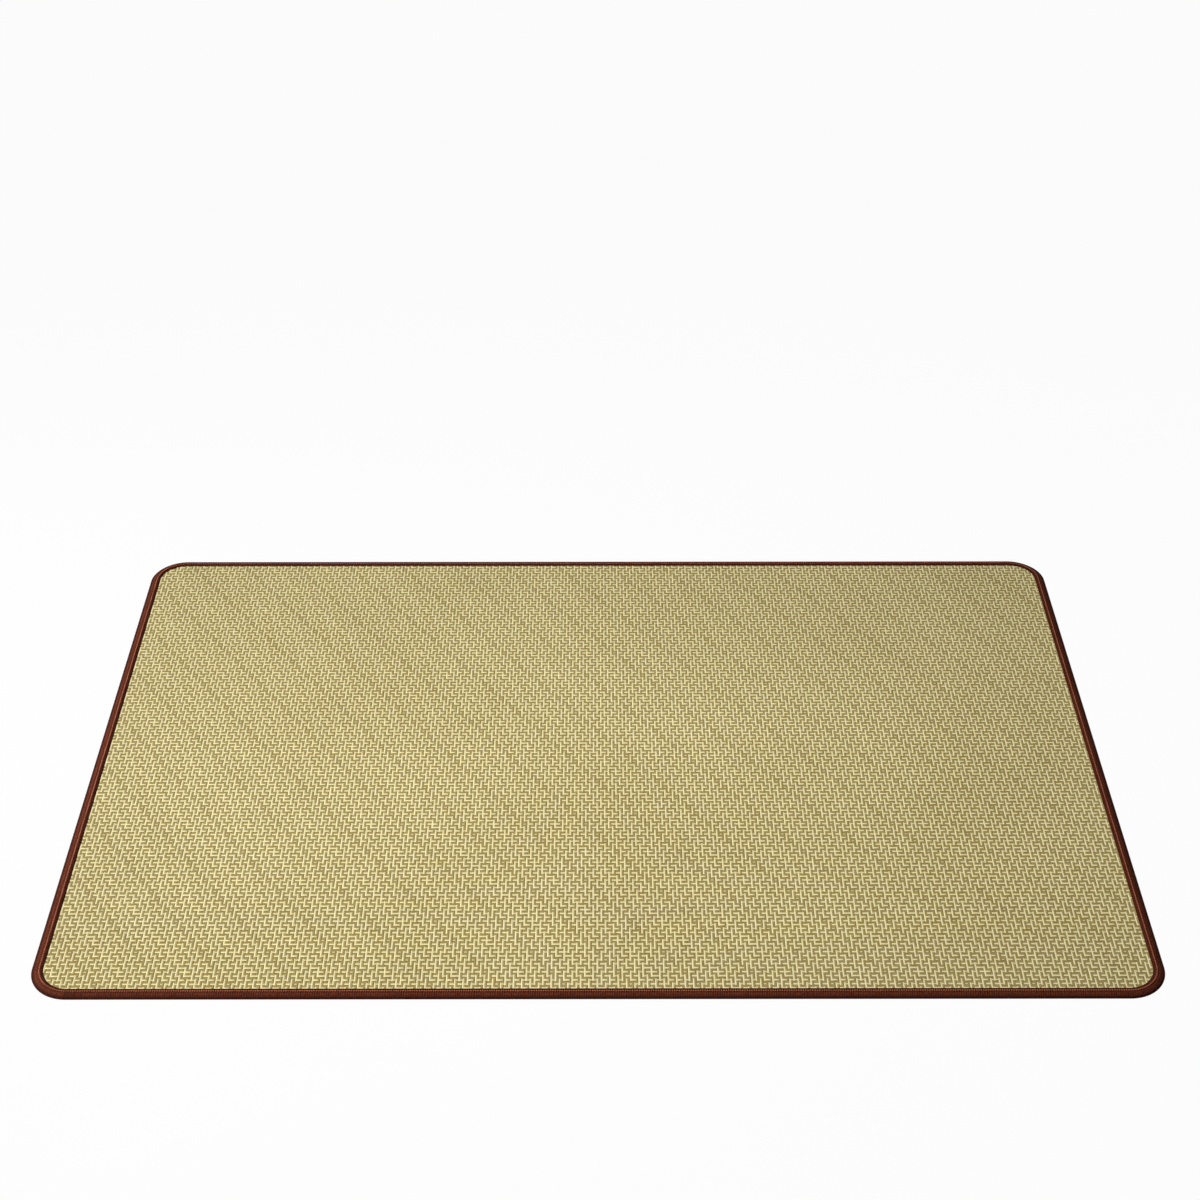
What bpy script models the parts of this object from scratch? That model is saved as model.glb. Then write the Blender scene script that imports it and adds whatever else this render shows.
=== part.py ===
"""Tatami rug: one flat woven panel with a cloth tape folded and sewn round its whole edge.

+X runs along the rug's length, +Y along its width and +Z up. The origin is on the floor
under the middle of the rug. All sizes are in metres.
"""

import math

import bmesh
import bpy
from mathutils import Vector

# Whole rug
RUG_LENGTH = 1.800
RUG_WIDTH = 1.200
CORNER_RADIUS = 0.066
CORNER_STEPS = 16
FIT_GAP = 0.0003

# Woven panel
PANEL_TOP = 0.0050
RIM_SLOPE = 0.0015

# Binding tape: insets are measured inwards from the rug's outer edge
TAPE_TOP = 0.0070
TAPE_UPPER_WIDTH = 0.0185
TAPE_LOWER_WIDTH = 0.0210
TAPE_THICKNESS = 0.0012
CREST_INSET = 0.0130
CREST_ROUNDNESS = 1.3
SHOULDER_ROUNDNESS = 1.8
FOLD_HEIGHT = 0.0016
FOLD_WALL = 0.0016
FOLD_REACH = 0.0115
RIDGE_PITCH = 0.0052
RIDGE_DEPTH = 0.0004

# Points along each stretch of the tape's cross-section
CREST_POINTS = 20
SHOULDER_POINTS = 6
INSIDE_POINTS = 6
FOOT_POINTS = 3

# Finishes: base colour (linear), roughness and metallic
STRAW = ((0.53, 0.45, 0.22), 0.70, 0.0)
BROWN_COTTON = ((0.155, 0.055, 0.034), 0.85, 0.0)


def clear_scene():
    for old in list(bpy.data.objects):
        bpy.data.objects.remove(old, do_unlink=True)


def finish_material(name, finish):
    colour, roughness, metallic = finish
    material = bpy.data.materials.new(name)
    material.use_nodes = True
    shader = material.node_tree.nodes["Principled BSDF"]
    shader.inputs["Base Color"].default_value = (*colour, 1.0)
    shader.inputs["Roughness"].default_value = roughness
    shader.inputs["Metallic"].default_value = metallic
    return material


def quarter_curve(start, end, count, power=2.0):
    """Points of a quarter superellipse that leaves start vertically and reaches end level."""
    points = []
    for step in range(count + 1):
        turn = math.pi / 2 * step / count
        across = 1 - math.cos(turn) ** (2 / power)
        up = math.sin(turn) ** (2 / power)
        inset = start[0] + (end[0] - start[0]) * across
        height = start[1] + (end[1] - start[1]) * up
        points.append((inset, height))
    return points


def ridged(points):
    """Sinks the grooves between the tape's lengthwise ridges, square to its surface."""
    sunk = []
    for index, (inset, height) in enumerate(points):
        before = points[max(index - 1, 0)]
        after = points[min(index + 1, len(points) - 1)]
        along = Vector((after[0] - before[0], after[1] - before[1])).normalized()
        phase = 2 * math.pi * (inset - CREST_INSET) / RIDGE_PITCH
        fade = min(inset / FOLD_HEIGHT, 1)
        depth = fade * RIDGE_DEPTH * (1 - math.cos(phase)) / 2
        sunk.append((inset + along.y * depth, height - along.x * depth))
    return sunk


def tape_section():
    """Closed cross-section of the folded tape, from its foot over the top and back inside."""
    side = (0.0, FOLD_HEIGHT)
    crest = (CREST_INSET, TAPE_TOP)
    lip = (TAPE_UPPER_WIDTH, PANEL_TOP + FIT_GAP)
    foot = (FOLD_HEIGHT, 0.0)
    outside = quarter_curve(side, foot, FOOT_POINTS)[::-1]
    outside += ridged(quarter_curve(side, crest, CREST_POINTS, CREST_ROUNDNESS))[1:]
    outside += quarter_curve(lip, crest, SHOULDER_POINTS, SHOULDER_ROUNDNESS)[::-1][1:]
    inner_side = (FOLD_WALL, FOLD_HEIGHT)
    inner_top = (FOLD_REACH, PANEL_TOP + FIT_GAP)
    inner_foot = (FOLD_WALL + FOLD_HEIGHT - TAPE_THICKNESS, TAPE_THICKNESS)
    inside = quarter_curve(inner_side, inner_top, INSIDE_POINTS, CREST_ROUNDNESS)[::-1]
    inside += [inner_foot, (TAPE_LOWER_WIDTH, TAPE_THICKNESS), (TAPE_LOWER_WIDTH, 0.0)]
    return outside + inside


def panel_rim():
    """Cross-section of the panel's rim, which fills the fold, from the top to the underside."""
    side = (FOLD_WALL + FIT_GAP, FOLD_HEIGHT)
    top = (FOLD_REACH, PANEL_TOP)
    rim_underside = TAPE_THICKNESS + FIT_GAP
    foot = (FOLD_WALL + FOLD_HEIGHT - TAPE_THICKNESS + FIT_GAP, rim_underside)
    slope_start = TAPE_LOWER_WIDTH + 2 * FIT_GAP
    rim = quarter_curve(side, top, INSIDE_POINTS, CREST_ROUNDNESS)[::-1]
    return rim + [foot, (slope_start, rim_underside), (slope_start + RIM_SLOPE, 0.0)]


def sweep_round(mesh, section, closed):
    """Carries a cross-section along the four sides and round the four corners."""
    half_length = RUG_LENGTH / 2
    half_width = RUG_WIDTH / 2
    start_x = -half_length + CORNER_RADIUS
    points = [mesh.verts.new((start_x, inset - half_width, height)) for inset, height in section]
    edges = [mesh.edges.new(pair) for pair in zip(points, points[1:])]
    if closed:
        edges.append(mesh.edges.new((points[-1], points[0])))
    corner_x = half_length - CORNER_RADIUS
    corner_y = half_width - CORNER_RADIUS
    sides = (
        (Vector((2 * corner_x, 0, 0)), Vector((corner_x, -corner_y, 0))),
        (Vector((0, 2 * corner_y, 0)), Vector((corner_x, corner_y, 0))),
        (Vector((-2 * corner_x, 0, 0)), Vector((-corner_x, corner_y, 0))),
        (Vector((0, -2 * corner_y, 0)), Vector((-corner_x, -corner_y, 0))),
    )
    for run, corner in sides:
        made = bmesh.ops.extrude_edge_only(mesh, edges=edges)["geom"]
        moved = [item for item in made if isinstance(item, bmesh.types.BMVert)]
        bmesh.ops.translate(mesh, verts=moved, vec=run)
        edges = [item for item in made if isinstance(item, bmesh.types.BMEdge)]
        turned = bmesh.ops.spin(
            mesh,
            geom=edges + moved,
            cent=corner,
            axis=(0, 0, 1),
            angle=math.pi / 2,
            steps=CORNER_STEPS,
            use_duplicate=False,
        )["geom_last"]
        edges = [item for item in turned if isinstance(item, bmesh.types.BMEdge)]
    bmesh.ops.remove_doubles(mesh, verts=mesh.verts, dist=1e-5)


def add_object(name, mesh, material):
    bmesh.ops.recalc_face_normals(mesh, faces=mesh.faces)
    data = bpy.data.meshes.new(name)
    mesh.to_mesh(data)
    mesh.free()
    data.materials.append(material)
    data.shade_smooth()
    data.set_sharp_from_angle(angle=math.radians(40))
    made = bpy.data.objects.new(name, data)
    bpy.context.scene.collection.objects.link(made)
    return made


def woven_panel():
    mesh = bmesh.new()
    sweep_round(mesh, panel_rim(), closed=False)
    bmesh.ops.holes_fill(mesh, edges=mesh.edges, sides=0)
    add_object("woven_panel", mesh, finish_material("straw_weave", STRAW))


def edge_binding():
    mesh = bmesh.new()
    sweep_round(mesh, tape_section(), closed=True)
    add_object("edge_binding", mesh, finish_material("brown_tape", BROWN_COTTON))


clear_scene()
woven_panel()
edge_binding()
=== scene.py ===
"""Looks of the tatami rug: woven strands, folded tape, stitches, floor, light and camera.

+X runs along the rug's length, +Y along its width and +Z up from the floor, in metres.
"""

import math

import bmesh
import bpy
import numpy as np
from mathutils import Matrix, Vector, noise


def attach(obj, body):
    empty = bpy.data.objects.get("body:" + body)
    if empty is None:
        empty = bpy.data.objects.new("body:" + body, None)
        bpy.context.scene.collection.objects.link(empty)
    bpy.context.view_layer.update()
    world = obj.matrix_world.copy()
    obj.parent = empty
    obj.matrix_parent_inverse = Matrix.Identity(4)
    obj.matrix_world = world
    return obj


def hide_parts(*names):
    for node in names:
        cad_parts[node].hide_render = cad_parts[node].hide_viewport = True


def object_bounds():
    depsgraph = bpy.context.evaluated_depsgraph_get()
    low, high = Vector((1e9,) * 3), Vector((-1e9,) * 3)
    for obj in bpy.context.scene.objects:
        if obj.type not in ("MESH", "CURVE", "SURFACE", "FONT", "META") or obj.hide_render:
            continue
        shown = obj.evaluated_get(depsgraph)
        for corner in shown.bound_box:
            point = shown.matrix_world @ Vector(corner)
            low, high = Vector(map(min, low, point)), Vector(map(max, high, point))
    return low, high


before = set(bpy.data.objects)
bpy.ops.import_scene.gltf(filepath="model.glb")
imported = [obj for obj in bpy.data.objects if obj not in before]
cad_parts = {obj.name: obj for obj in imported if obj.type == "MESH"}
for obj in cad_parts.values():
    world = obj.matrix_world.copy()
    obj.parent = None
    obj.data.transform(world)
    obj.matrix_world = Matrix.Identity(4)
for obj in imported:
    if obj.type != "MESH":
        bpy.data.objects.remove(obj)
CAD_BOX = [list(corner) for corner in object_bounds()]

# Rug: its outer size comes from the bounds of the imported model
RUG_LENGTH = CAD_BOX[1][0] - CAD_BOX[0][0]
RUG_WIDTH = CAD_BOX[1][1] - CAD_BOX[0][1]
CORNER_RADIUS = 0.066
CORNER_X = RUG_LENGTH / 2 - CORNER_RADIUS
CORNER_Y = RUG_WIDTH / 2 - CORNER_RADIUS
CORNER_STEPS = 24
FIT_GAP = 0.0003

# Binding tape: insets are measured inwards from the rug's outer edge
TAPE_TOP = 0.0070
TAPE_UPPER_WIDTH = 0.0195
TAPE_LOWER_WIDTH = 0.0210
TAPE_THICKNESS = 0.0012
CREST_INSET = 0.0130
CREST_ROUNDNESS = 1.3
SHOULDER_ROUNDNESS = 1.8
FOLD_HEIGHT = 0.0016
FOLD_WALL = 0.0016
FOLD_REACH = 0.0115
RIDGE_PITCH = 0.0052
RIDGE_DEPTH = 0.0004
CREST_POINTS = 36
SHOULDER_POINTS = 10
INSIDE_POINTS = 6
FOOT_POINTS = 4
TAPE_STEP = 0.0150
TAPE_WAVINESS = 0.00012
TAPE_WAVE_LENGTH = 0.060

# Stitches along the tape's crest
STITCH_PITCH = 0.00367
STITCH_LENGTH = 0.0027
STITCH_WIDTH = 0.0021
STITCH_HEIGHT = 0.0011
STITCH_SLANT = math.radians(10)
STITCH_TURN_SPREAD = 0.05
STITCH_LIFT_SPREAD = 0.00003

# Woven sheet under the strands
SHEET_TOP = 0.0042
RIM_SLOPE = 0.0015

# Strands: ends run along the width and picks along the length, light and dark by turns
END_PAIR = 0.0066059
PICK_PAIR = 0.0086864
FIRST_LIGHT_END = 0.00694
FIRST_LIGHT_PICK = 0.00660
LIGHT_END_SHARE = 0.455
LIGHT_PICK_SHARE = 0.435
STRAND_BASE = 0.0041
STRAND_CREST = 0.0051
STRAND_GAP = 0.00010
STRAND_TOP_SHARE = 0.46
LIGHT_TUCK = 0.0010
DARK_TUCK = 0.0003
STRAND_DIVE = 0.0013
STRAND_SHIFT = 0.00005
STRAND_SINK = 0.00006
SHORT_FLOAT_SINK = 0.00022
SHORT_FLOAT_WIDTH = 0.86
# Tones of the floats: the deeper tone is painted shade on short light floats, and the own deeper tone of
# long dark floats
OPEN_TONE = 0.25
DEEP_TONE_AND_SHADE = 0.80
# Painted shade added to the tone of every float along the length, light and dark
LEVEL_PAINTED_SHADE = 0.28
TONE_SPREAD = 0.06
STRAND_HIDDEN_INSET = 0.0130
STRAND_SEED = 11
# Floats of 12 triangles each, so that a piece stays under 200,000
MOST_FLOATS = 16600

# Draft of the maze weave, by a plain counting rule
DRAFT_ROUND = 16
DRAFT_SHOWN = 8
END_FLOAT_STEPS = (7, 3)
PICK_FLOAT_STEPS = (7, 9)

# Finishes: linear colours
PALE_STRAW = (0.600, 0.548, 0.310)
WARM_STRAW = (0.366, 0.316, 0.157)
DRY_RUSH = (0.280, 0.232, 0.102)
DEEP_RUSH = (0.163, 0.116, 0.0235)
SHADED_RUSH = (0.100, 0.074, 0.028)
BROWN_CLOTH = (0.084, 0.0168, 0.0060)
# Painted shade for the tape: rib troughs, stitch gaps, grooves, seam and foot
BROWN_SHADE = (0.018, 0.0030, 0.0010)
BROWN_WORN = (0.130, 0.037, 0.019)
BROWN_THREAD = (0.370, 0.116, 0.060)
FLOOR_BASE = (0.008, 0.008, 0.008)

# Finishes: how closely the grain is packed along each axis
END_GRAIN = (2600.0, 240.0, 900.0)
PICK_GRAIN = (240.0, 2600.0, 900.0)
SHEET_GRAIN = (1500.0, 260.0, 300.0)
THREAD_GRAIN = (1800.0, 1800.0, 1800.0)
CLOTH_GRAIN = (3600.0, 900.0, 1.0)
PUCKER_GRAIN = (300.0, 220.0, 1.0)

# Finishes: noise scales
FLECK_SCALE = 0.23
BROAD_DRIFT_SCALE = 2.2
SMALL_DRIFT_SCALE = 45.0
SWAY_SCALE = 120.0
WEAR_SCALE = 38.0
FLOOR_CLOUD_SCALE = 3.0

# Finishes: shares of what is mixed in
BROAD_DRIFT_SHARE = 0.6
STRAND_FIBRE_SHARE = 0.25
STRAND_TONE_SHARE = 0.55
STRAND_DRIFT_SHARE = 0.20
STRAND_FLECK_SHARE = 0.15
REVERSE_FIBRE_SHARE = 0.4
STITCH_FIBRE_SHARE = 0.5
TAPE_THREAD_SHARE = 0.20
TAPE_WEAR_SHARE = 0.15
# Share of painted shade in the tape's hollows
TAPE_SHADE_SHARE = 0.88
TAPE_SWAY = 2.0
SHEET_FIBRE_RELIEF = 0.2
TAPE_THREAD_RELIEF = 0.5

# Finishes: insets on the tape where the painted shade of its seam and its foot starts and ends, and how
# dark the painted shade in its hollows is
SEAM_START = CREST_INSET + 0.0012
SEAM_END = CREST_INSET + 0.0034
SEAM_SHADE_STRENGTH = 0.65
FOOT_START = 0.0056
FOOT_END = 0.0026
GROOVE_SHADE_STRENGTH = 0.3

# Finishes: heights on the sheet's rim between which the reverse gives way to the upper face
REVERSE_STOP = 0.0020
UPPER_START = 0.0030

# Finishes: depth of the bumps
STRAND_BUMP = 0.00012
SHEET_BUMP = 0.0006
TAPE_BUMP = 0.00016
TAPE_BUMP_STRENGTH = 0.8
STITCH_BUMP = 0.00010

# Finishes: least and most roughness, and specular level
STRAND_ROUGHNESS = (0.55, 0.75)
SHEET_ROUGHNESS = (0.60, 0.85)
TAPE_ROUGHNESS = (0.75, 0.92)
STITCH_ROUGHNESS = (0.50, 0.70)
FLOOR_ROUGHNESS = (0.80, 0.90)
STRAND_SPECULAR = 0.15
SHEET_SPECULAR = 0.25
TAPE_SPECULAR = 0.05
STITCH_SPECULAR = 0.15
FLOOR_SPECULAR = 0.2

# Meshes: edges that turn by more than this stay sharp, and points closer than this are one
STRAND_SHARP = math.radians(80)
SHEET_SHARP = math.radians(40)
TAPE_SHARP = math.radians(50)
STITCH_SHARP = math.radians(180)
WELD_DISTANCE = 1e-5

# Floor, light and camera
FLOOR_REACH = 15.0
# A hair below the rug, so that the two faces never share one plane
FLOOR_DROP = 0.0002
FLOOR_GLOW = 0.955
KEY_PLACE = (-6.42, 0.0, 4.45)
KEY_TARGET = (-0.65, -0.13, 0.0)
KEY_SIZE = 2.4
KEY_SPREAD = math.radians(21)
KEY_POWER = 51.0
WORLD_LIGHT = 0.34
WORLD_BELOW = 0.10
HORIZON_START = -0.10
HORIZON_END = 0.35
CAMERA_PLACE = (0.0, -2.8117, 2.3656)
CAMERA_TILT = math.radians(90 - 35.80)
CAMERA_ROLL = math.radians(0.061)
CAMERA_LENS = 60.95
CAMERA_SENSOR = 36.0
CAMERA_SHIFT = (0.0019, 0.0001)


def add_node(tree, kind, **settings):
    node = tree.nodes.new("ShaderNode" + kind)
    for name, value in settings.items():
        setattr(node, name, value)
    return node


def feed(tree, socket, source):
    """Links a socket to another node's output, or gives it a plain value."""
    if isinstance(source, bpy.types.NodeSocket):
        tree.links.new(source, socket)
    else:
        socket.default_value = source


def math_node(tree, operation, first, second=0.0):
    node = add_node(tree, "Math", operation=operation)
    feed(tree, node.inputs[0], first)
    feed(tree, node.inputs[1], second)
    return node.outputs[0]


def scaled(tree, vector, factors):
    node = add_node(tree, "VectorMath", operation="MULTIPLY")
    feed(tree, node.inputs[0], vector)
    feed(tree, node.inputs[1], factors)
    return node.outputs[0]


def noise_node(tree, vector, scale, detail, roughness=0.5):
    node = add_node(tree, "TexNoise")
    feed(tree, node.inputs["Vector"], vector)
    node.inputs["Scale"].default_value = scale
    node.inputs["Detail"].default_value = detail
    node.inputs["Roughness"].default_value = roughness
    return node.outputs[0]


def ranged(tree, value, low, high, start=0.0, stop=1.0):
    """Carries a value from the range low to high over to start to stop, and holds it there."""
    node = add_node(tree, "MapRange")
    for socket, given in zip(node.inputs, (value, low, high, start, stop)):
        feed(tree, socket, given)
    return node.outputs[0]


def mixed(tree, factor, first, second):
    node = add_node(tree, "Mix", data_type="RGBA")
    feed(tree, node.inputs["Factor"], factor)
    feed(tree, node.inputs[6], first if isinstance(first, bpy.types.NodeSocket) else (*first, 1))
    feed(tree, node.inputs[7], second if isinstance(second, bpy.types.NodeSocket) else (*second, 1))
    return node.outputs[2]


def new_group(name, inputs, outputs):
    tree = bpy.data.node_groups.new(name, "ShaderNodeTree")
    for label, kind in inputs:
        tree.interface.new_socket(label, in_out="INPUT", socket_type=kind)
    for label, kind in outputs:
        tree.interface.new_socket(label, in_out="OUTPUT", socket_type=kind)
    return tree, tree.nodes.new("NodeGroupInput"), tree.nodes.new("NodeGroupOutput")


def place_group(tree, group, **inputs):
    node = add_node(tree, "Group", node_tree=group)
    for label, value in inputs.items():
        feed(tree, node.inputs[label], value)
    return node


def fibre_grain():
    """Fine lengthwise fibres and scattered flecks, for strands and threads."""
    tree, given, result = new_group(
        "fibre_grain",
        (("Vector", "NodeSocketVector"), ("Stretch", "NodeSocketVector")),
        (("Fibre", "NodeSocketFloat"), ("Fleck", "NodeSocketFloat")),
    )
    stretched = scaled(tree, given.outputs["Vector"], given.outputs["Stretch"])
    fibre = noise_node(tree, stretched, 1.0, 3.0, 0.6)
    fleck = noise_node(tree, stretched, FLECK_SCALE, 2.0)
    feed(tree, result.inputs["Fibre"], ranged(tree, fibre, 0.3, 0.7))
    feed(tree, result.inputs["Fleck"], ranged(tree, fleck, 0.62, 0.74))
    return tree


def tone_drift():
    """Slow unevenness of colour over the whole rug, from 0 to 1."""
    tree, given, result = new_group(
        "tone_drift",
        (("Vector", "NodeSocketVector"),),
        (("Drift", "NodeSocketFloat"),),
    )
    broad = noise_node(tree, given.outputs["Vector"], BROAD_DRIFT_SCALE, 2.0)
    small = noise_node(tree, given.outputs["Vector"], SMALL_DRIFT_SCALE, 2.0)
    broad = math_node(tree, "MULTIPLY", broad, BROAD_DRIFT_SHARE)
    small = math_node(tree, "MULTIPLY", small, 1 - BROAD_DRIFT_SHARE)
    feed(tree, result.inputs["Drift"], ranged(tree, math_node(tree, "ADD", broad, small), 0.35, 0.65))
    return tree


def strand_crossings():
    """Plain over-and-under relief of the strands, for the rug's underside."""
    tree, given, result = new_group(
        "strand_crossings",
        (("Vector", "NodeSocketVector"),),
        (("Relief", "NodeSocketFloat"), ("Pale", "NodeSocketFloat")),
    )
    turns = scaled(tree, given.outputs["Vector"], (2 * math.pi / END_PAIR, 2 * math.pi / PICK_PAIR, 0.0))
    parts = add_node(tree, "SeparateXYZ")
    feed(tree, parts.inputs[0], turns)
    ends = math_node(tree, "SINE", parts.outputs["X"])
    picks = math_node(tree, "SINE", parts.outputs["Y"])
    relief = math_node(tree, "ABSOLUTE", math_node(tree, "MULTIPLY", ends, picks))
    feed(tree, result.inputs["Relief"], math_node(tree, "POWER", relief, 0.5))
    feed(tree, result.inputs["Pale"], ranged(tree, math_node(tree, "MAXIMUM", ends, picks), -0.2, 0.5))
    return tree


def tape_cloth():
    """Cross ribs and threads of the binding tape, on its own map: U along it and V across it."""
    tree, given, result = new_group(
        "tape_cloth",
        (("Vector", "NodeSocketVector"), ("Pitch", "NodeSocketFloat")),
        (
            ("Rib", "NodeSocketFloat"),
            ("Pucker", "NodeSocketFloat"),
            ("Thread", "NodeSocketFloat"),
            ("Wear", "NodeSocketFloat"),
            ("Hollow_shade", "NodeSocketFloat"),
        ),
    )
    parts = add_node(tree, "SeparateXYZ")
    feed(tree, parts.inputs[0], given.outputs["Vector"])
    sway = noise_node(tree, given.outputs["Vector"], SWAY_SCALE, 1.0)
    turns = math_node(tree, "DIVIDE", parts.outputs["X"], given.outputs["Pitch"])
    turns = math_node(tree, "MULTIPLY", turns, 2 * math.pi)
    swayed = math_node(tree, "ADD", turns, math_node(tree, "MULTIPLY", sway, TAPE_SWAY))
    feed(tree, result.inputs["Rib"], ranged(tree, math_node(tree, "COSINE", swayed), -0.5, 0.7))
    pucker = noise_node(tree, scaled(tree, given.outputs["Vector"], PUCKER_GRAIN), 1.0, 2.0, 0.7)
    feed(tree, result.inputs["Pucker"], ranged(tree, pucker, 0.43, 0.57))
    threads = noise_node(tree, scaled(tree, given.outputs["Vector"], CLOTH_GRAIN), 1.0, 2.0, 0.6)
    feed(tree, result.inputs["Thread"], ranged(tree, threads, 0.3, 0.7))
    wear = noise_node(tree, given.outputs["Vector"], WEAR_SCALE, 3.0, 0.6)
    feed(tree, result.inputs["Wear"], ranged(tree, wear, 0.4, 0.7))
    # Painted shade fills the hollows: the gaps between stitches, the grooves outside them, the seam inside
    # them and the foot
    from_crest = math_node(tree, "SUBTRACT", parts.outputs["Y"], CREST_INSET)
    off_crest = math_node(tree, "ABSOLUTE", from_crest)
    near_crest = ranged(tree, off_crest, STITCH_WIDTH, STITCH_WIDTH / 2)
    between = ranged(tree, math_node(tree, "COSINE", turns), 0.5, -0.4)
    gap_shade = math_node(tree, "MULTIPLY", between, near_crest)
    ridge = math_node(tree, "COSINE", math_node(tree, "MULTIPLY", from_crest, 2 * math.pi / RIDGE_PITCH))
    groove_shade = ranged(tree, ridge, 0.2, -0.9, 0.0, GROOVE_SHADE_STRENGTH)
    outer = math_node(tree, "LESS_THAN", from_crest, 0.0)
    seam_shade = ranged(tree, parts.outputs["Y"], SEAM_START, SEAM_END, 0.0, SEAM_SHADE_STRENGTH)
    foot = ranged(tree, parts.outputs["Y"], FOOT_START, FOOT_END)
    edges = math_node(tree, "MAXIMUM", math_node(tree, "MAXIMUM", foot, gap_shade), seam_shade)
    hollow_shade = math_node(tree, "MAXIMUM", math_node(tree, "MULTIPLY", groove_shade, outer), edges)
    feed(tree, result.inputs["Hollow_shade"], hollow_shade)
    return tree


def start_material(name):
    material = bpy.data.materials.new(name)
    material.use_nodes = True
    tree = material.node_tree
    return material, tree, tree.nodes["Principled BSDF"]


def add_bump(tree, shader, height, distance, strength=0.6):
    bump = add_node(tree, "Bump")
    bump.inputs["Strength"].default_value = strength
    bump.inputs["Distance"].default_value = distance
    feed(tree, bump.inputs["Height"], height)
    feed(tree, shader.inputs["Normal"], bump.outputs["Normal"])


def set_surface(tree, shader, colour, grain, roughness, specular):
    """Colour and shine of a surface that gets rougher where its grain is high."""
    feed(tree, shader.inputs["Base Color"], colour)
    feed(tree, shader.inputs["Roughness"], ranged(tree, grain, 0.0, 1.0, *roughness))
    shader.inputs["Specular IOR Level"].default_value = specular


def strand_finish(name, pale, deep, stretch):
    """Dry flat strand: fibres along it, darker flecks, and a tone for each float: its own, with painted
    shade added on short light floats and on floats along the length.
    """
    material, tree, shader = start_material(name)
    place = add_node(tree, "TexCoord").outputs["Object"]
    grain = place_group(tree, GROUPS["fibre_grain"], Vector=place, Stretch=stretch)
    drift = place_group(tree, GROUPS["tone_drift"], Vector=place).outputs["Drift"]
    # Each float's own tone, with painted shade on short light floats and on floats along the length
    own = add_node(tree, "Attribute", attribute_name="tone_and_shade").outputs["Fac"]
    shade = math_node(tree, "MULTIPLY", grain.outputs["Fibre"], STRAND_FIBRE_SHARE)
    shade = math_node(tree, "ADD", shade, math_node(tree, "MULTIPLY", own, STRAND_TONE_SHARE))
    shade = math_node(tree, "ADD", shade, math_node(tree, "MULTIPLY", drift, STRAND_DRIFT_SHARE))
    fleck = math_node(tree, "MULTIPLY", grain.outputs["Fleck"], STRAND_FLECK_SHARE)
    colour = mixed(tree, fleck, mixed(tree, shade, pale, deep), deep)
    set_surface(tree, shader, colour, grain.outputs["Fibre"], STRAND_ROUGHNESS, STRAND_SPECULAR)
    add_bump(tree, shader, grain.outputs["Fibre"], STRAND_BUMP)
    return material


def sheet_finish():
    """Shaded rush between the strands above, and the weave's reverse below."""
    material, tree, shader = start_material("straw_sheet")
    place = add_node(tree, "TexCoord").outputs["Object"]
    weave = place_group(tree, GROUPS["strand_crossings"], Vector=place)
    grain = place_group(tree, GROUPS["fibre_grain"], Vector=place, Stretch=SHEET_GRAIN)
    fibre = grain.outputs["Fibre"]
    parts = add_node(tree, "SeparateXYZ")
    feed(tree, parts.inputs[0], place)
    upper = ranged(tree, parts.outputs["Z"], REVERSE_STOP, UPPER_START)
    strands = mixed(tree, weave.outputs["Pale"], DEEP_RUSH, WARM_STRAW)
    reverse = mixed(tree, math_node(tree, "MULTIPLY", fibre, REVERSE_FIBRE_SHARE), strands, DRY_RUSH)
    colour = mixed(tree, upper, reverse, SHADED_RUSH)
    set_surface(tree, shader, colour, fibre, SHEET_ROUGHNESS, SHEET_SPECULAR)
    fine = math_node(tree, "MULTIPLY", fibre, SHEET_FIBRE_RELIEF)
    add_bump(tree, shader, math_node(tree, "ADD", weave.outputs["Relief"], fine), SHEET_BUMP)
    return material


def tape_finish():
    """Brown ribbed cotton: cross ribs, painted shade in the rib troughs and the tape's other hollows,
    fuzzy threads and soft wear.
    """
    material, tree, shader = start_material("brown_tape_cloth")
    place = add_node(tree, "UVMap", uv_map="tape_run").outputs["UV"]
    cloth = place_group(tree, GROUPS["tape_cloth"], Vector=place, Pitch=STITCH_PITCH)
    rib, pucker, thread = (cloth.outputs[label] for label in ("Rib", "Pucker", "Thread"))
    # Painted light and shade: rib and pucker tops lighter, their troughs darker
    lit = ranged(tree, math_node(tree, "ADD", rib, pucker), 0.35, 1.65)
    colour = mixed(tree, lit, BROWN_SHADE, BROWN_CLOTH)
    # Thread and wear are the cloth's own colour; the hollows get painted shade
    for label, share, shade in (
        ("Thread", TAPE_THREAD_SHARE, BROWN_WORN),
        ("Wear", TAPE_WEAR_SHARE, BROWN_WORN),
        ("Hollow_shade", TAPE_SHADE_SHARE, BROWN_SHADE),
    ):
        colour = mixed(tree, math_node(tree, "MULTIPLY", cloth.outputs[label], share), colour, shade)
    set_surface(tree, shader, colour, thread, TAPE_ROUGHNESS, TAPE_SPECULAR)
    height = math_node(tree, "ADD", rib, math_node(tree, "MULTIPLY", thread, TAPE_THREAD_RELIEF))
    add_bump(tree, shader, math_node(tree, "ADD", height, pucker), TAPE_BUMP, TAPE_BUMP_STRENGTH)
    return material


def stitch_finish():
    """Lighter brown twisted thread."""
    material, tree, shader = start_material("brown_thread")
    place = add_node(tree, "TexCoord").outputs["Object"]
    grain = place_group(tree, GROUPS["fibre_grain"], Vector=place, Stretch=THREAD_GRAIN)
    fibre = grain.outputs["Fibre"]
    colour = mixed(tree, math_node(tree, "MULTIPLY", fibre, STITCH_FIBRE_SHARE), BROWN_THREAD, BROWN_WORN)
    set_surface(tree, shader, colour, fibre, STITCH_ROUGHNESS, STITCH_SPECULAR)
    add_bump(tree, shader, fibre, STITCH_BUMP)
    return material


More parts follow.
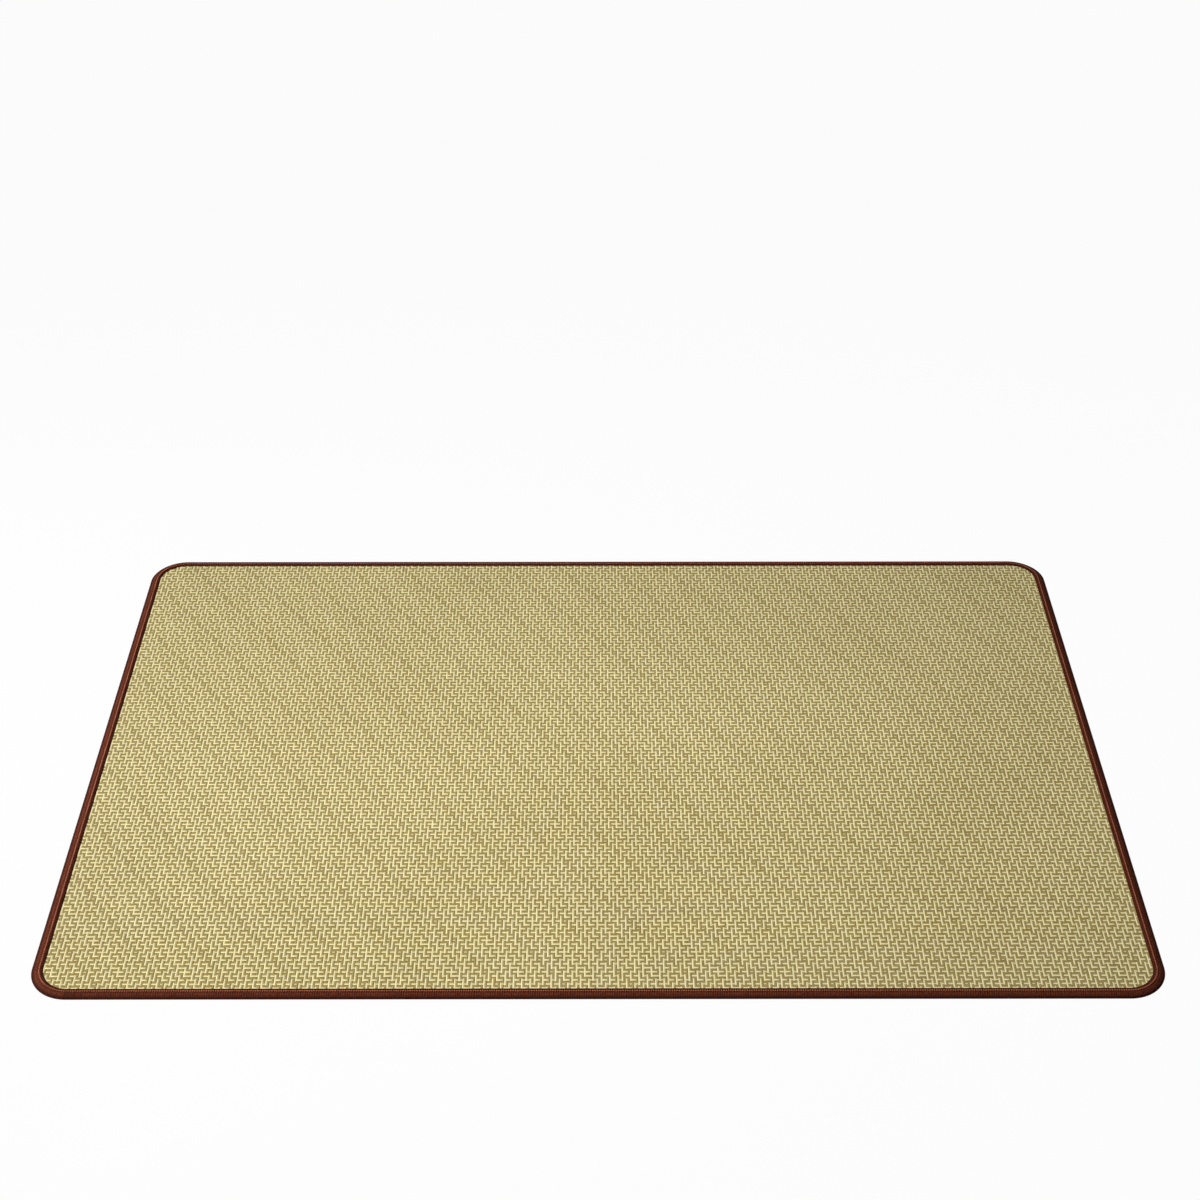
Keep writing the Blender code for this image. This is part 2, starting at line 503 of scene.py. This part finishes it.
def floor_finish():
    """Pale floor that is nearly all lit by itself, so that it stays even."""
    material, tree, shader = start_material("pale_floor")
    place = add_node(tree, "TexCoord").outputs["Object"]
    clouds = noise_node(tree, place, FLOOR_CLOUD_SCALE, 2.0)
    shader.inputs["Base Color"].default_value = (*FLOOR_BASE, 1)
    feed(tree, shader.inputs["Roughness"], ranged(tree, clouds, 0.3, 0.7, *FLOOR_ROUGHNESS))
    shader.inputs["Specular IOR Level"].default_value = FLOOR_SPECULAR
    shader.inputs["Emission Color"].default_value = (1, 1, 1, 1)
    shader.inputs["Emission Strength"].default_value = FLOOR_GLOW
    return material


def inset_at(x, y):
    """How far places lie inside the rug's rounded outline."""
    across = np.abs(x) - CORNER_X
    along = np.abs(y) - CORNER_Y
    outside = np.hypot(np.maximum(across, 0), np.maximum(along, 0))
    return CORNER_RADIUS - outside - np.minimum(np.maximum(across, along), 0)


def light_float_shows(end, pick, steps):
    """Whether a light strand shows on top where it crosses a dark one.

    Each end and each pick moves a count on by its own steps, and the count starts again at DRAFT_ROUND.
    """
    count = end * steps[0] + pick * steps[1]
    return count % DRAFT_ROUND < DRAFT_SHOWN


def weave_draft(end_count, pick_count):
    """Table of crossings, true where the end lies on top; even rows and columns are light."""
    over = np.zeros((end_count, pick_count), dtype=bool)
    for end in range(end_count):
        for pick in range(pick_count):
            if end % 2 == 0 and pick % 2 == 1:
                over[end, pick] = light_float_shows(end // 2, pick // 2, END_FLOAT_STEPS)
            if end % 2 == 1 and pick % 2 == 0:
                over[end, pick] = not light_float_shows(end // 2, pick // 2, PICK_FLOAT_STEPS)
    upright = np.zeros(over.shape, dtype=int)
    level = np.zeros(over.shape, dtype=int)
    upright[:, 1:] += over[:, :-1]
    upright[:, :-1] += over[:, 1:]
    level[1:] += ~over[:-1]
    level[:-1] += ~over[1:]
    ends, picks = np.indices(over.shape)
    both_light = (ends % 2 == 0) & (picks % 2 == 0)
    both_dark = (ends % 2 == 1) & (picks % 2 == 1)
    # Light on light shows the end where any float of it arrives, and dark on dark the one with more floats
    over[both_light] = (upright > 0)[both_light]
    over[both_dark] = (upright >= level)[both_dark]
    return over


def lane_edges(first, pair, light_share, count):
    """Middle and width of each strand's lane, light and dark by turns."""
    order = np.arange(count)
    middle = first + order * pair / 2
    width = np.where(order % 2 == 0, light_share, 1 - light_share) * pair
    return middle, width


def float_runs(shown):
    """Each run of crossings with the strand on top: its lane, first and last crossing."""
    change = np.diff(np.pad(shown.astype(int), ((0, 0), (1, 1))), axis=1)
    lane, first = np.nonzero(change == 1)
    last = np.nonzero(change == -1)[1] - 1
    return lane, first, last


def shape_arrays(mesh):
    """Corners and faces of a small mesh, ready to be repeated."""
    mesh.verts.index_update()
    corners = np.array([vert.co[:] for vert in mesh.verts])
    faces = np.array([[vert.index for vert in face.verts] for face in mesh.faces])
    mesh.free()
    return corners, faces


def planar_map(mesh):
    """Map named OFBake: the rug seen from above fills the square."""
    corners = np.empty(len(mesh.loops), dtype=np.int32)
    mesh.loops.foreach_get("vertex_index", corners)
    places = np.empty(len(mesh.vertices) * 3, dtype=np.float32)
    mesh.vertices.foreach_get("co", places)
    flat = places.reshape(-1, 3)[corners, :2]
    layer = mesh.uv_layers.new(name="OFBake")
    layer.uv.foreach_set("vector", (flat / (RUG_LENGTH, RUG_WIDTH) + 0.5).ravel())


def joined_copies(name, points, faces, material, sharp_angle, tone_and_shade=None):
    """One mesh of many copies of a small shape; points holds copies, corners and x, y, z."""
    copies, corners = points.shape[:2]
    sides = faces.shape[1]
    mesh = bpy.data.meshes.new(name)
    mesh.vertices.add(copies * corners)
    mesh.vertices.foreach_set("co", points.ravel())
    around = (np.arange(copies)[:, None, None] * corners + faces).ravel()
    mesh.loops.add(len(around))
    mesh.loops.foreach_set("vertex_index", around)
    mesh.polygons.add(len(around) // sides)
    mesh.polygons.foreach_set("loop_start", np.arange(0, len(around), sides))
    mesh.update(calc_edges=True)
    mesh.validate()
    if tone_and_shade is not None:
        layer = mesh.attributes.new("tone_and_shade", "FLOAT", "POINT")
        layer.data.foreach_set("value", np.repeat(tone_and_shade, corners))
    mesh.shade_smooth()
    mesh.set_sharp_from_angle(angle=sharp_angle)
    planar_map(mesh)
    return add_piece(name, mesh, material)


def add_piece(name, mesh, material):
    mesh.materials.append(material)
    piece = bpy.data.objects.new(name, mesh)
    bpy.context.scene.collection.objects.link(piece)
    return piece


def strand_pieces(name, shown, middle, width, crossing, crossing_width, upright, materials):
    """Light and dark floats of one direction, each a low bar with its ends tucked under."""
    bar = bmesh.new()
    bmesh.ops.create_cube(bar, size=2)
    corners, faces = shape_arrays(bar)
    rise = (corners[:, 2] + 1) / 2
    lane, first, last = float_runs(shown)
    light = lane % 2 == 0
    tuck = np.where(light, LIGHT_TUCK, DARK_TUCK)
    start = crossing[first] - crossing_width[first] / 2 - tuck
    stop = crossing[last] + crossing_width[last] / 2 + tuck
    chance = np.random.default_rng(STRAND_SEED + upright)
    short = first == last
    shift = chance.uniform(-1, 1, len(lane)) * STRAND_SHIFT
    crest = STRAND_CREST - chance.uniform(0, 1, len(lane)) * STRAND_SINK - short * SHORT_FLOAT_SINK
    # A short float sits deeper between its neighbours; a light one gets painted shade in its tone, and a
    # dark one a lighter, greyer tone
    tone_and_shade = np.where(light == short, DEEP_TONE_AND_SHADE, OPEN_TONE) + chance.normal(0, TONE_SPREAD, len(lane))
    # Floats along the length get painted shade on top of their tone
    tone_and_shade = np.clip(tone_and_shade + (0 if upright else LEVEL_PAINTED_SHADE), 0, 1)
    half_width = (width[lane] / 2 - STRAND_GAP) * np.where(short, SHORT_FLOAT_WIDTH, 1)
    narrowing = 1 - rise * (1 - STRAND_TOP_SHARE)
    half_run = (stop - start)[:, None] / 2 - rise * STRAND_DIVE
    across = (middle[lane] + shift)[:, None] + corners[:, 0] * narrowing * half_width[:, None]
    along = (start + stop)[:, None] / 2 + corners[:, 1] * half_run
    height = STRAND_BASE + rise * (crest - STRAND_BASE)[:, None]
    if upright:
        points = np.stack((across, along, height), axis=2)
    else:
        points = np.stack((along, -across, height), axis=2)
    pieces = []
    for shade, chosen in (("light", light), ("dark", ~light)):
        floats = np.flatnonzero(chosen)
        shares = np.array_split(floats, math.ceil(len(floats) / MOST_FLOATS))
        for order, share in enumerate(shares, 1):
            label = f"{shade}_{name}" if len(shares) == 1 else f"{shade}_{name}_{order}"
            pieces.append(
                joined_copies(label, points[share], faces, materials[shade], STRAND_SHARP, tone_and_shade[share])
            )
    return pieces


def weave_strands():
    """All strands that show on top, cut off below the tape."""
    end_count = 2 * round((RUG_LENGTH - FIRST_LIGHT_END) / END_PAIR)
    pick_count = 2 * round((RUG_WIDTH - FIRST_LIGHT_PICK) / PICK_PAIR)
    end_x, end_width = lane_edges(FIRST_LIGHT_END - RUG_LENGTH / 2, END_PAIR, LIGHT_END_SHARE, end_count)
    pick_depth, pick_width = lane_edges(
        FIRST_LIGHT_PICK - RUG_WIDTH / 2, PICK_PAIR, LIGHT_PICK_SHARE, pick_count
    )
    over = weave_draft(end_count, pick_count)
    seen = inset_at(end_x[:, None], pick_depth[None, :]) > STRAND_HIDDEN_INSET
    across_length = {
        "light": strand_finish("pale_end", PALE_STRAW, WARM_STRAW, END_GRAIN),
        "dark": strand_finish("dark_end", DRY_RUSH, DEEP_RUSH, END_GRAIN),
    }
    along_length = {
        "light": strand_finish("pale_pick", PALE_STRAW, WARM_STRAW, PICK_GRAIN),
        "dark": strand_finish("dark_pick", DRY_RUSH, DEEP_RUSH, PICK_GRAIN),
    }
    backwards = -pick_depth[::-1]
    ends = strand_pieces(
        "ends", (over & seen)[:, ::-1], end_x, end_width, backwards, pick_width[::-1], True, across_length
    )
    picks = strand_pieces(
        "picks", (~over & seen).T, pick_depth, pick_width, end_x, end_width, False, along_length
    )
    return ends + picks


def quarter_curve(start, end, count, power=2.0):
    """Points of a quarter superellipse that leaves start vertically and reaches end level."""
    points = []
    for step in range(count + 1):
        turn = math.pi / 2 * step / count
        across = 1 - math.cos(turn) ** (2 / power)
        up = math.sin(turn) ** (2 / power)
        points.append((start[0] + (end[0] - start[0]) * across, start[1] + (end[1] - start[1]) * up))
    return points


def ridged(points):
    """Sinks the grooves between the tape's lengthwise ridges, square to its surface."""
    sunk = []
    for index, (inset, height) in enumerate(points):
        before = points[max(index - 1, 0)]
        after = points[min(index + 1, len(points) - 1)]
        along = Vector((after[0] - before[0], after[1] - before[1])).normalized()
        phase = 2 * math.pi * (inset - CREST_INSET) / RIDGE_PITCH
        depth = min(inset / FOLD_HEIGHT, 1) * RIDGE_DEPTH * (1 - math.cos(phase)) / 2
        sunk.append((inset + along.y * depth, height - along.x * depth))
    return sunk


def tape_section():
    """Closed cross-section of the folded tape, from its foot over the top and back inside."""
    side = (0.0, FOLD_HEIGHT)
    crest = (CREST_INSET, TAPE_TOP)
    lip = (TAPE_UPPER_WIDTH, SHEET_TOP + FIT_GAP)
    foot = (FOLD_HEIGHT, 0.0)
    outside = quarter_curve(side, foot, FOOT_POINTS)[::-1]
    outside += ridged(quarter_curve(side, crest, CREST_POINTS, CREST_ROUNDNESS))[1:]
    outside += quarter_curve(lip, crest, SHOULDER_POINTS, SHOULDER_ROUNDNESS)[::-1][1:]
    inner_side = (FOLD_WALL, FOLD_HEIGHT)
    inner_top = (FOLD_REACH, STRAND_CREST + FIT_GAP)
    inner_foot = (FOLD_WALL + FOLD_HEIGHT - TAPE_THICKNESS, TAPE_THICKNESS)
    inside = quarter_curve(inner_side, inner_top, INSIDE_POINTS, CREST_ROUNDNESS)[::-1]
    inside += [inner_foot, (TAPE_LOWER_WIDTH, TAPE_THICKNESS), (TAPE_LOWER_WIDTH, 0.0)]
    return outside + inside


def sheet_rim():
    """Cross-section of the sheet's rim inside the fold, from the top to the underside."""
    side = (FOLD_WALL + FIT_GAP, FOLD_HEIGHT)
    rim_underside = TAPE_THICKNESS + FIT_GAP
    foot = (FOLD_WALL + FOLD_HEIGHT - TAPE_THICKNESS + FIT_GAP, rim_underside)
    slope_start = TAPE_LOWER_WIDTH + 2 * FIT_GAP
    rim = quarter_curve(side, (FOLD_REACH, SHEET_TOP), INSIDE_POINTS, CREST_ROUNDNESS)[::-1]
    return rim + [foot, (slope_start, rim_underside), (slope_start + RIM_SLOPE, 0.0)]


def sweep_round(mesh, section, closed, step):
    """Carries a cross-section along the four sides and round the four corners."""
    points = [mesh.verts.new((-CORNER_X, inset - RUG_WIDTH / 2, height)) for inset, height in section]
    edges = [mesh.edges.new(pair) for pair in zip(points, points[1:])]
    if closed:
        edges.append(mesh.edges.new((points[-1], points[0])))
    sides = (
        (Vector((2 * CORNER_X, 0, 0)), Vector((CORNER_X, -CORNER_Y, 0))),
        (Vector((0, 2 * CORNER_Y, 0)), Vector((CORNER_X, CORNER_Y, 0))),
        (Vector((-2 * CORNER_X, 0, 0)), Vector((-CORNER_X, CORNER_Y, 0))),
        (Vector((0, -2 * CORNER_Y, 0)), Vector((-CORNER_X, -CORNER_Y, 0))),
    )
    for run, corner in sides:
        steps = max(round(run.length / step), 1)
        # A spin that only moves on makes the straight side, and one that turns makes the corner
        for turn, move, count in ((0.0, run / steps, steps), (math.pi / 2, Vector(), CORNER_STEPS)):
            swept = bmesh.ops.spin(
                mesh,
                geom=edges + list({vert for edge in edges for vert in edge.verts}),
                cent=corner,
                axis=(0, 0, 1),
                dvec=move,
                angle=turn,
                steps=count,
                use_duplicate=False,
            )["geom_last"]
            edges = [item for item in swept if isinstance(item, bmesh.types.BMEdge)]
    bmesh.ops.remove_doubles(mesh, verts=mesh.verts, dist=WELD_DISTANCE)


def finish_mesh(name, mesh, sharp_angle):
    bmesh.ops.recalc_face_normals(mesh, faces=mesh.faces)
    data = bpy.data.meshes.new(name)
    mesh.to_mesh(data)
    mesh.free()
    data.shade_smooth()
    data.set_sharp_from_angle(angle=sharp_angle)
    return data


def woven_sheet():
    mesh = bmesh.new()
    sweep_round(mesh, sheet_rim(), closed=False, step=RUG_LENGTH)
    bmesh.ops.holes_fill(mesh, edges=mesh.edges, sides=0)
    data = finish_mesh("woven_sheet", mesh, SHEET_SHARP)
    planar_map(data)
    return add_piece("woven_sheet", data, sheet_finish())


def run_along_edge(x, y):
    """Distance of a place along the tape, counted on its crest from the front left corner."""
    arc = (CORNER_RADIUS - CREST_INSET) * math.pi / 2
    on_x = min(max(x, -CORNER_X), CORNER_X)
    on_y = min(max(y, -CORNER_Y), CORNER_Y)
    heading = math.atan2(y - on_y, x - on_x)
    turned = (heading + math.pi / 2) % (2 * math.pi) / (math.pi / 2)
    before = (
        0,
        2 * CORNER_X + arc,
        2 * (CORNER_X + CORNER_Y) + 2 * arc,
        4 * CORNER_X + 2 * CORNER_Y + 3 * arc,
    )
    quarter = int(round(turned, 6)) % 4
    part = max(turned - quarter, 0)
    reached = (on_x + CORNER_X, on_y + CORNER_Y, CORNER_X - on_x, CORNER_Y - on_y)[quarter]
    return before[quarter] + reached + part * arc


def tape_run_map(mesh):
    """The tape's own map in metres: U along its run and V across it from the outer edge."""
    total = edge_length(CREST_INSET)
    layer = mesh.uv_layers.new(name="tape_run")
    for face in mesh.polygons:
        middle = run_along_edge(face.center.x, face.center.y)
        for corner in face.loop_indices:
            place = mesh.vertices[mesh.loops[corner].vertex_index].co
            run = run_along_edge(place.x, place.y)
            run += round((middle - run) / total) * total
            inset = float(inset_at(place.x, place.y))
            layer.uv[corner].vector = (run, inset)


def binding_tape():
    mesh = bmesh.new()
    sweep_round(mesh, tape_section(), closed=True, step=TAPE_STEP)
    for vert in mesh.verts:
        wave = noise.noise(vert.co / TAPE_WAVE_LENGTH)
        lift = max(vert.co.z - STRAND_CREST, 0) / (TAPE_TOP - STRAND_CREST)
        vert.co.z += wave * TAPE_WAVINESS * lift
    data = finish_mesh("binding_tape", mesh, TAPE_SHARP)
    planar_map(data)
    tape_run_map(data)
    return add_piece("binding_tape", data, tape_finish())


def edge_length(inset):
    """Length all round of the line that lies a given inset inside the rug's outline."""
    straight = 2 * (RUG_LENGTH + RUG_WIDTH) - 8 * CORNER_RADIUS
    return straight + 2 * math.pi * (CORNER_RADIUS - inset)


def places_along_edge(inset, pitch):
    """Evenly spaced places round the rug: x, y and the heading of the line there."""
    radius = CORNER_RADIUS - inset
    arc = radius * math.pi / 2
    total = edge_length(inset)
    count = round(total / pitch)
    places = []
    for distance in np.arange(count) * total / count:
        for quarter, (half_run, half_depth) in enumerate(((CORNER_X, CORNER_Y), (CORNER_Y, CORNER_X)) * 2):
            turn = quarter * math.pi / 2
            if distance < 2 * half_run + arc:
                break
            distance -= 2 * half_run + arc
        bend = max(distance - 2 * half_run, 0) / radius
        along = min(distance, 2 * half_run) - half_run + radius * math.sin(bend)
        depth = half_depth + radius * math.cos(bend)
        x = along * math.cos(turn) + depth * math.sin(turn)
        y = along * math.sin(turn) - depth * math.cos(turn)
        places.append((x, y, turn + bend))
    return np.array(places)


def binding_stitches():
    """One small raised stitch after another on the tape's crest."""
    bead = bmesh.new()
    bmesh.ops.create_uvsphere(bead, u_segments=6, v_segments=4, radius=1)
    bmesh.ops.triangulate(bead, faces=bead.faces)
    corners, faces = shape_arrays(bead)
    corners = corners[:, [2, 1, 0]] * (STITCH_LENGTH / 2, -STITCH_WIDTH / 2, STITCH_HEIGHT / 2)
    places = places_along_edge(CREST_INSET, STITCH_PITCH)
    chance = np.random.default_rng(STRAND_SEED)
    heading = places[:, 2] + STITCH_SLANT + chance.normal(0, STITCH_TURN_SPREAD, len(places))
    turned_x = corners[:, 0] * np.cos(heading)[:, None] - corners[:, 1] * np.sin(heading)[:, None]
    turned_y = corners[:, 0] * np.sin(heading)[:, None] + corners[:, 1] * np.cos(heading)[:, None]
    height = TAPE_TOP + corners[:, 2] + chance.normal(0, STITCH_LIFT_SPREAD, len(places))[:, None]
    points = np.stack((places[:, :1] + turned_x, places[:, 1:2] + turned_y, height), axis=2)
    return joined_copies("binding_stitches", points, faces, stitch_finish(), STITCH_SHARP)


def pale_floor():
    mesh = bmesh.new()
    bmesh.ops.create_grid(mesh, x_segments=1, y_segments=1, size=FLOOR_REACH)
    bmesh.ops.translate(mesh, verts=mesh.verts, vec=(0, 0, -FLOOR_DROP))
    data = bpy.data.meshes.new("pale_floor")
    mesh.to_mesh(data)
    mesh.free()
    floor = add_piece("pale_floor", data, floor_finish())
    floor.visible_diffuse = False
    floor.visible_glossy = False


def studio_light():
    lamp = bpy.data.lights.new("key_light", "AREA")
    lamp.shape = "SQUARE"
    lamp.size = KEY_SIZE
    lamp.spread = KEY_SPREAD
    lamp.energy = KEY_POWER
    key = bpy.data.objects.new("key_light", lamp)
    key.location = KEY_PLACE
    aim = Vector(KEY_TARGET) - Vector(KEY_PLACE)
    key.rotation_euler = aim.to_track_quat("-Z", "Y").to_euler()
    bpy.context.scene.collection.objects.link(key)


def studio_world():
    """Soft light from all round, and the even backdrop that the camera sees."""
    world = bpy.data.worlds.new("studio_world")
    world.use_nodes = True
    tree = world.node_tree
    background = tree.nodes["Background"]
    background.inputs["Color"].default_value = (1, 1, 1, 1)
    # Little light comes from below the horizon, so the tape's outer side falls dark at its foot
    parts = add_node(tree, "SeparateXYZ")
    feed(tree, parts.inputs[0], add_node(tree, "TexCoord").outputs["Generated"])
    below = WORLD_BELOW * WORLD_LIGHT
    glow = ranged(tree, parts.outputs["Z"], HORIZON_START, HORIZON_END, below, WORLD_LIGHT)
    # The camera sees the backdrop as pale as the floor, from any side
    seen = add_node(tree, "LightPath").outputs["Is Camera Ray"]
    feed(tree, background.inputs["Strength"], ranged(tree, seen, 0.0, 1.0, glow, FLOOR_GLOW))
    bpy.context.scene.world = world
    bpy.context.scene.view_settings.view_transform = "Standard"


def photo_camera():
    lens = bpy.data.cameras.new("photo_camera")
    lens.lens = CAMERA_LENS
    lens.sensor_width = CAMERA_SENSOR
    lens.shift_x, lens.shift_y = CAMERA_SHIFT
    camera = bpy.data.objects.new("photo_camera", lens)
    camera.location = CAMERA_PLACE
    turned = Matrix.Rotation(CAMERA_TILT, 3, "X") @ Matrix.Rotation(-CAMERA_ROLL, 3, "Z")
    camera.rotation_euler = turned.to_euler()
    bpy.context.scene.collection.objects.link(camera)
    bpy.context.scene.camera = camera


GROUPS = {
    "fibre_grain": fibre_grain(),
    "tone_drift": tone_drift(),
    "strand_crossings": strand_crossings(),
    "tape_cloth": tape_cloth(),
}

photo_camera()
studio_light()
studio_world()
pale_floor()
strands = weave_strands()
sheet = woven_sheet()
tape = binding_tape()
stitches = binding_stitches()
for piece in (*strands, sheet):
    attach(piece, "root")
for piece in (tape, stitches):
    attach(piece, "root")
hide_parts("woven_panel")
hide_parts("edge_binding")
